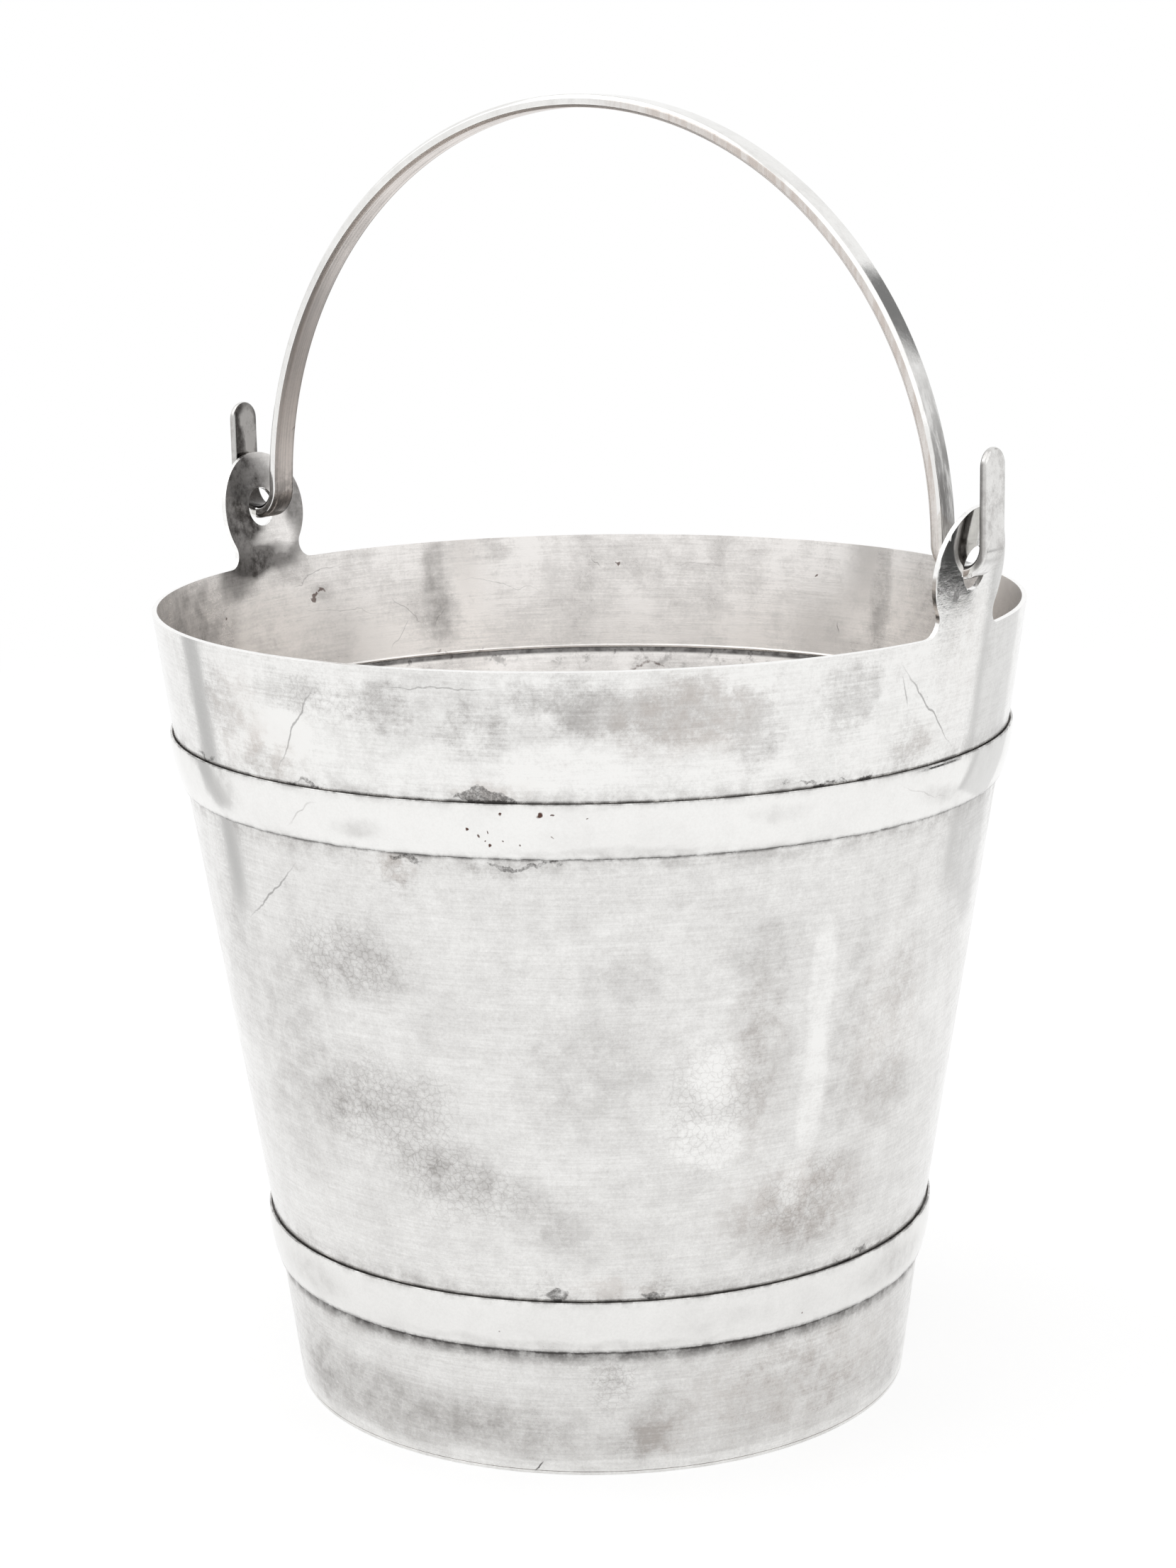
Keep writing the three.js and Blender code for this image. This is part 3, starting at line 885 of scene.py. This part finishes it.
def inner_silver(settings):
    """Inside of the wall: warmer, with brush marks, upright bands of painted reflection, painted
    shade under the bead, and ears dark with tarnish.
    """
    look, hoop = settings.look, settings.hoop
    finish = Finish("inner_silver", settings)
    drift, fray = finish.warped(60, 0.008), finish.warped(170, 0.009)
    wander = finish.warped(140, 0.006)
    clouds, mottle, grain = (finish.noise(*kind) for kind in (CLOUDS, MOTTLE, GRAIN))
    brushed = finish.noise(1, 5, 0.75, (70, 70, 1500))
    streaks = finish.noise(1, 3, 0.7, (30, 30, 420))
    film = (
        finish.stains(drift, INNER_STAINS_AND_REFLECTIONS) * mottle.ease(0.25, 0.75, 0.6, 1.3)
        - finish.stains(drift, INNER_LIGHT)
        + clouds.ease(0.35, 0.7, -0.02, 0.22) + mottle.ease(0.35, 0.7, -0.06, 0.13)
        + brushed.ease(0.35, 0.65, -0.06, 0.1) + streaks.ease(0.4, 0.7, -0.02, 0.08)
        + grain.ease(0.25, 0.75, -0.12, 0.12)
    ).held()
    ear = finish.stains(drift, EAR_TARNISH, core=0.35) - finish.stains(fray, EAR_LIGHT)
    ear = ear.held() * mottle.ease(0.36, 0.62, 1.0, 0.74)
    dirt = (finish.stains(fray, INNER_DIRT) + mottle * 0.9).ease(0.8, 1.0)
    # Under the bead: a dark band of painted shade with dirt, and corrosion further down.
    seam = hoop.upper_height + hoop.width - hoop.lap
    under = finish.z.ease(seam + 0.0003, seam - 0.0002)
    crevice = finish.z.ease(seam - 0.002, seam - 0.0012) * mottle.ease(0.34, 0.64, 1.0, 0.7)
    foul = finish.z.ease(seam - 0.009, seam - 0.001) * mottle.ease(0.54, 0.66, 0.0, 0.5)
    dark = (finish.stains(wander, INNER_CRACKS) + crevice * under + foul * under).held()
    layers = (film, look.tarnish), (ear, look.black), (dirt * 0.8, look.pit), (dark, look.crevice)
    return finish.painted(
        (look.inner, *layers),
        film * 0.25 + (look.polish + 0.12) + ear * 0.16,
        brushed * 0.26 + grain * 0.12 + clouds * 1.2,
        0.05 * MM,
    )


def hoop_silver(settings):
    """Hoops: rubbed bright, with ragged dirt along both edges, painted shade along their edges and
    under them, a few pits and faint smudges.
    """
    look, hoop = settings.look, settings.hoop
    finish = Finish("hoop_silver", settings)
    fray, wander = finish.warped(200, 0.004), finish.warped(110, 0.005)
    clouds, mottle = finish.noise(*CLOUDS), finish.noise(*HOOP_MOTTLE)
    grain = finish.noise(1500, 4, 0.8)
    film = (
        finish.stains(wander, HOOP_STAINS, core=0.2) * mottle.ease(0.3, 0.7, 0.5, 1.3)
        + clouds.ease(0.4, 0.72, 0.0, 0.1) + mottle.ease(0.4, 0.75, 0.0, 0.06)
        + grain.ease(0.25, 0.75, -0.04, 0.06) + finish.z.ease(0.09, 0.1, 0.09, 0.0)
        + finish.hoop_edges(0.0022) * mottle.ease(0.4, 0.65, 0.0, 0.26)
    ).held()
    # Dark lines along the edges: dirt, and painted shade in the crevices; the lower edges darker
    # still with painted shade.
    lines = finish.hoop_edges(0.0005) * mottle.ease(0.35, 0.6, 0.1, 0.7)
    under = finish.near_height(hoop.lower_height, 0.0013) * 0.7
    under = under + finish.near_height(hoop.upper_height, 0.001) * 0.5
    dark = (lines + under * mottle.ease(0.3, 0.6, 0.35, 1.0)).held()
    pits = finish.stains(fray, HOOP_PITS, core=0.5)
    return finish.painted(
        (look.bright, (film, look.tarnish), (dark, look.crevice), (pits.held(), look.pit)),
        film * 0.5 + look.polish,
        grain * 0.1 + clouds * 1.2 - pits,
        0.04 * MM,
    )


def edge_highlight_silver(settings):
    """Cut edges of the sheet, painted brightest as a highlight."""
    finish, look = Finish("edge_highlight_silver"), settings.look
    grain = finish.noise(700, 4, 0.8)
    tone = look.edge, (grain.ease(0.35, 0.8), look.bright)
    return finish.painted(tone, grain.ease(0.3, 0.8, 0.1, 0.3), grain, 0.01 * MM)


def bail_silver(settings):
    """Bail, outside and sides: bright, warm down one side, with grey marbling low on the legs and
    painted shade along one chamfer of the legs.
    """
    look, bail, line = settings.look, settings.bail, BailLine(settings)
    finish = Finish("bail_silver")
    clouds, mottle = finish.noise(70, 8, 0.65), finish.noise(240, 8, 0.72)
    grain, drawn = finish.noise(*GRAIN), finish.noise(1, 5, 0.7, (400, 400, 40))
    half_width, half_flat = bail.bar_width / 2, bail.bar_width / 2 - bail.bar_chamfer
    across, right = abs(finish.x), finish.x.ease(0, 0.03)
    leg = across.ease(line.bend_x + 0.0035, line.bend_x + 0.001)
    tab = across.ease(line.bend_x + 0.003, line.bend_x + 0.005)
    low = finish.z.ease(line.bend_z + 0.052, line.bend_z + 0.008)
    face = abs(finish.y).ease(half_flat + 0.0002, half_flat - 0.0003)
    marble = low * leg * face * drawn.ease(0.34, 0.62, 0.35, 1.0)
    # A darker strip along the legs' chamfer on the +Y side: painted shade of that edge.
    edge = finish.y.ease(half_flat - 0.0002, half_flat + 0.0003) * leg
    side = finish.y.ease(-half_width + 0.0002, -half_width + 0.0001) * leg * right
    outline = tab * finish.y.ease(-half_width - 0.0003, -half_width - 0.0007)
    film = (
        edge * 0.75 + tab * mottle.ease(0.42, 0.66, 0.22, 0.56) + outline * 0.5
        + clouds.ease(0.42, 0.72, 0.0, 0.2) + mottle.ease(0.42, 0.72, -0.02, 0.14)
        + grain.ease(0.25, 0.75, -0.08, 0.1) + drawn.ease(0.35, 0.65, -0.03, 0.06)
    ).held()
    lines = drawn.ease(0.4, 0.62, 0.5, 1.0) + grain.ease(0.25, 0.75, -0.1, 0.1)
    middle = line.bend_x + bail.bend_radius
    hidden = outline * finish.x.ease(middle + 0.0003, middle - 0.0002) * right
    black = (marble * 0.86).most(hidden * 0.55).held()
    layers = (film * 0.8, look.tarnish), ((side * lines).held(), look.warm), (black, look.black)
    return finish.painted(
        (look.bright, *layers),
        film * 0.3 + look.polish + side * 0.15,
        grain * 0.1 + clouds,
        0.04 * MM,
    )


def bail_inside_silver(settings):
    """Bail, inner face: warm and satin, lined along the bar, with a dark line of painted shade along
    each border and a painted highlight along one chamfer.
    """
    look, bail, line = settings.look, settings.bail, BailLine(settings)
    finish = Finish("bail_inside_silver")
    clouds, mottle = finish.noise(60, 8, 0.65), finish.noise(260, 8, 0.72)
    grain, lines = finish.noise(*GRAIN), finish.noise(1, 4, 0.7, (14, 1500, 14))
    half_flat = bail.bar_width / 2 - bail.bar_chamfer
    # Dark lines along each border: painted shade of the chamfers' edges.
    near = finish.y.ease(-half_flat + 0.0001, -half_flat - 0.0003)
    near = near * finish.y.ease(-half_flat - 0.0009, -half_flat - 0.0005)
    far = finish.y.ease(half_flat - 0.0007, half_flat - 0.0003)
    far = far * finish.y.ease(half_flat + 0.0003, half_flat - 0.0001)
    # A bright strip along the chamfer on the +Y side: a painted highlight.
    rubbed = finish.y.ease(half_flat, half_flat + 0.0004)
    film = (
        clouds.ease(0.35, 0.7, -0.05, 0.2) + lines.ease(0.35, 0.65, -0.15, 0.3)
        + grain.ease(0.25, 0.75, -0.1, 0.12)
    ).held()
    low = finish.z.ease(line.bend_z + 0.012, line.bend_z - 0.006)
    nick = finish.oval(
        finish.warped(400, 0.002), (-line.bend_x, 0.0023, line.bend_z + 0.016),
        (math.radians(48), 0, 0), (0.02, 0.0017, 0.0004), 0.8,
    )
    dark = low * mottle.ease(0.36, 0.62, 0.1, 0.75) + near * 0.2 + far * 0.45 + nick
    layers = (film, look.tarnish), (rubbed * 0.8, look.bright), (dark.held(), look.black)
    return finish.painted(
        (look.satin, *layers), film * 0.2 + 0.3, lines * 0.5 + grain * 0.1, 0.04 * MM
    )


def tab_inside_silver(settings):
    """Tabs, inner face: black with tarnish, rubbed grey in the middle of one, and bright along the
    far side of the other."""
    look, bail, line = settings.look, settings.bail, BailLine(settings)
    finish = Finish("tab_inside_silver")
    mottle, grain = finish.noise(*HOOP_MOTTLE), finish.noise(*GRAIN)
    tip, half_width = line.pivot_height + bail.tab_rise, bail.tab_width / 2
    place, level = finish.warped(170, 0.005), (0, 0, 0)
    middle, low = (-0.114, 0.001, tip - 0.008), (-0.114, 0, tip - 0.0165)
    patch = finish.oval(place, middle, level, (0.02, 0.0042, 0.0095), 1.6, 0.4)
    gap = finish.oval(place, low, level, (0.02, 0.0032, 0.003), 0.8)
    rubbed = ((patch - gap) * mottle.ease(0.36, 0.6, 0.5, 1.0)).held()
    bright = finish.x.ease(0, 0.01) * finish.y.ease(-0.0016, -0.0012)
    border = abs(finish.y).ease(half_width - 0.0007, half_width - 0.0002) * finish.x.ease(0.01, 0)
    tone = (
        look.black, (rubbed, look.worn), (grain.ease(0.45, 0.75, 0.0, 0.3), look.tarnish),
        (bright.most(border * 0.6), look.bright),
    )
    return finish.painted(tone, 0.2, mottle * 0.6 + grain * 0.1, 0.03 * MM)


def wall_finishes(settings):
    return [wall_silver(settings), inner_silver(settings), edge_highlight_silver(settings)]


# Operators

WHITE = (1, 1, 1)
# Strengths of the world: of the light that it gives, and of what is seen of it
FILL, BACKDROP = 0.8, 1.0
# Distances in metres between which the floor runs into the backdrop
FLOOR_FADE = (0.35, 1.2)
# Lamps, as a name, a place in metres and a power in watts
LAMPS = (("overhead_left", (-0.9, -0.7, 1.6), 6), ("overhead_right", (1.2, -0.3, 1.5), 4))
LAMP_SIZE = 2
LAMP_AIM = Vector((0, 0, 0.12))
# Cards, as a name, a tone, a corner and two sides in metres
CARDS = (
    ("card_ear_dark", 0.05, (0.545, 0.43, 0.004), (-0.125, 0.205, 0), (0.12, 0.14, 0)),
    ("card_left_grey", 0.62, (-0.38, -0.112, 0.002), (0, 0.062, 0), (0, 0, 0.33)),
    ("card_right_grey", 0.7, (0.19, 0.352, 0.002), (0.024, -0.014, 0), (0, 0, 0.3)),
    ("card_right_pale", 0.84, (0.03, 0.402, 0.002), (0.184, -0.058, 0), (0, 0, 0.3)),
    ("card_leg_dark", 0.22, (0.27, 0.86, 0.57), (0.21, 0, 0), (0, 0, 0.24)),
)


class BUCKET_OT_base(bpy.types.Operator):
    """Build the base plate."""

    bl_idname = "bucket.base"
    bl_label = "Base Plate"

    def execute(self, context):
        settings = context.scene.bucket
        piece_of(base_mesh(settings), "base_disc", ["base_plate"], wall_finishes(settings))
        return {"FINISHED"}


class BUCKET_OT_walls(bpy.types.Operator):
    """Build the foot wall and the barrel."""

    bl_idname = "bucket.walls"
    bl_label = "Foot Wall and Barrel"

    def execute(self, context):
        settings = context.scene.bucket
        hoop, finishes = settings.hoop, wall_finishes(settings)
        foot, barrel, _ = tapers(settings)
        low, high = settings.wall.base_thickness, hoop.lower_height + hoop.lap
        shell = wall_ring(settings, foot, low, high)
        piece_of(shell, "foot_shell", ["foot_wall"], finishes)
        low, high = hoop.lower_height + hoop.width - hoop.lap, hoop.upper_height + hoop.lap
        shell = wall_ring(settings, barrel, low, high)
        piece_of(shell, "barrel_shell", ["barrel"], finishes)
        return {"FINISHED"}


class BUCKET_OT_hoops(bpy.types.Operator):
    """Build the two hoops."""

    bl_idname = "bucket.hoops"
    bl_label = "Hoops"

    def execute(self, context):
        settings = context.scene.bucket
        hoop, finishes = settings.hoop, [hoop_silver(settings), inner_silver(settings)]
        foot, barrel, collar = tapers(settings)
        lower = hoop_ring(settings, hoop.lower_height, foot, barrel)
        piece_of(lower, "lower_band", ["lower_hoop"], finishes)
        upper = hoop_ring(settings, hoop.upper_height, barrel, collar)
        piece_of(upper, "upper_band", ["upper_hoop"], finishes)
        return {"FINISHED"}


class BUCKET_OT_collar(bpy.types.Operator):
    """Build the rim collar with its ears, and the bead inside it."""

    bl_idname = "bucket.collar"
    bl_label = "Rim Collar and Ears"

    def execute(self, context):
        settings = context.scene.bucket
        finishes = wall_finishes(settings)
        piece_of(collar_mesh(settings), "collar_shell", ["rim_collar"], finishes)
        piece_of(bead_mesh(settings), "seam_bead", [], finishes[1:2])
        return {"FINISHED"}


class BUCKET_OT_bail(bpy.types.Operator):
    """Build the bail."""

    bl_idname = "bucket.bail"
    bl_label = "Bail"

    def execute(self, context):
        settings = context.scene.bucket
        faces = (bail_silver, bail_inside_silver, tab_inside_silver)
        finishes = [face(settings) for face in faces]
        piece_of(bail_mesh(settings), "bail_bar", ["bail"], finishes, body="bail")
        return {"FINISHED"}


class BUCKET_OT_stage(bpy.types.Operator):
    """Set up the floor, the lights and the camera."""

    bl_idname = "bucket.stage"
    bl_label = "Stage"

    def execute(self, context):
        scene, stage = context.scene, context.scene.bucket.stage
        scene.view_settings.view_transform = "Standard"
        self.make_camera(scene, stage)
        mesh = bmesh.new()
        ops.create_circle(mesh, cap_ends=True, segments=FLOOR_CORNERS, radius=stage.floor_radius)
        object_of(mesh, "floor", [self.floor_white(stage)])
        for card in CARDS:
            self.make_card(*card)
        for lamp in LAMPS:
            self.make_lamp(*lamp)
        self.make_world(scene)
        return {"FINISHED"}

    def make_camera(self, scene, stage):
        data = bpy.data.cameras.new("camera")
        data.lens = stage.camera_lens
        camera = linked("camera", data)
        camera.matrix_world = (
            Matrix.Translation(stage.camera_place)
            @ Matrix.Rotation(stage.camera_heading, 4, "Z")
            @ Matrix.Rotation(math.pi / 2 - stage.camera_pitch, 4, "X")
            @ Matrix.Rotation(stage.camera_roll, 4, "Z")
        )
        scene.camera = camera

    def floor_white(self, stage):
        """Pale with the bucket's shadow on it, running into the white of the backdrop far off."""
        finish = Finish("floor_white")
        away = finish.add("ShaderNodeVectorMath", {0: finish.place}, operation="LENGTH")
        away = Amount(finish, away.outputs["Value"]).ease(*FLOOR_FADE)
        matt = finish.add("ShaderNodeBsdfDiffuse", {"Color": (stage.floor_tone,) * 3}).outputs[0]
        glow = finish.emission(WHITE, finish.seen_directly() * stage.floor_glow)
        near = finish.add("ShaderNodeAddShader", {0: matt, 1: glow}).outputs[0]
        both = finish.add("ShaderNodeMixShader", {0: away, 1: near, 2: finish.emission(WHITE)})
        return finish.shown(both.outputs[0])

    def make_card(self, name, tone, corner, wide, tall):
        """A card that stands outside the view and shows only in the silver."""
        corner, wide, tall = Vector(corner), Vector(wide), Vector(tall)
        spread = Matrix((wide, tall, (0, 0, 0))).transposed().to_4x4()
        place = Matrix.Translation(corner + (wide + tall) / 2) @ spread
        mesh = bmesh.new()
        ops.create_grid(mesh, x_segments=1, y_segments=1, size=0.5, matrix=place)
        finish = Finish(name)
        card = object_of(mesh, name, [finish.shown(finish.emission((tone,) * 3))])
        card.visible_camera = card.visible_diffuse = card.visible_shadow = False

    def make_lamp(self, name, place, watts):
        data = bpy.data.lights.new(name, "AREA")
        data.size = LAMP_SIZE
        data.energy = watts
        lamp = linked(name, data)
        lamp.location = place
        lamp.rotation_euler = (LAMP_AIM - Vector(place)).to_track_quat("-Z", "Y").to_euler()

    def make_world(self, scene):
        scene.world = bpy.data.worlds.new("studio")
        nodes = Nodes(scene.world)
        fill, backdrop = (
            nodes.add("ShaderNodeBackground", {"Color": WHITE, "Strength": strength}).outputs[0]
            for strength in (FILL, BACKDROP)
        )
        both = {0: nodes.seen_directly(), 1: fill, 2: backdrop}
        shown = nodes.add("ShaderNodeMixShader", both).outputs[0]
        nodes.add("ShaderNodeOutputWorld", {0: shown})


class BUCKET_PT_panel(bpy.types.Panel):
    """Lists the bucket's pieces in the sidebar."""

    bl_idname = "BUCKET_PT_panel"
    bl_label = "Champagne Bucket"
    bl_space_type = "VIEW_3D"
    bl_region_type = "UI"
    bl_category = "Bucket"

    def draw(self, context):
        settings = context.scene.bucket
        for operator in PIECES + (BUCKET_OT_stage,):
            self.layout.operator(operator.bl_idname)
        for group in (settings.wall, settings.hoop, settings.ear, settings.bail, settings.look):
            box = self.layout.box()
            for name in group.__annotations__:
                box.prop(group, name)


PIECES = (BUCKET_OT_base, BUCKET_OT_walls, BUCKET_OT_hoops, BUCKET_OT_collar, BUCKET_OT_bail)
GROUPS = (WallSizes, HoopSizes, EarSizes, BailSizes, SilverLook, StageSizes, BucketSettings)
CLASSES = GROUPS + PIECES + (BUCKET_OT_stage, BUCKET_PT_panel)


def register():
    for item in CLASSES:
        bpy.utils.register_class(item)
    bpy.types.Scene.bucket = PointerProperty(
        type=BucketSettings, name="Bucket", description="Everything that the bucket is built from"
    )


def unregister():
    del bpy.types.Scene.bucket
    for item in reversed(CLASSES):
        bpy.utils.unregister_class(item)


def main():
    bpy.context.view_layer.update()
    register()
    bpy.ops.bucket.stage()
    bpy.ops.bucket.base()
    bpy.ops.bucket.walls()
    bpy.ops.bucket.hoops()
    bpy.ops.bucket.collar()
    bpy.ops.bucket.bail()


if __name__ == "__main__":
    main()
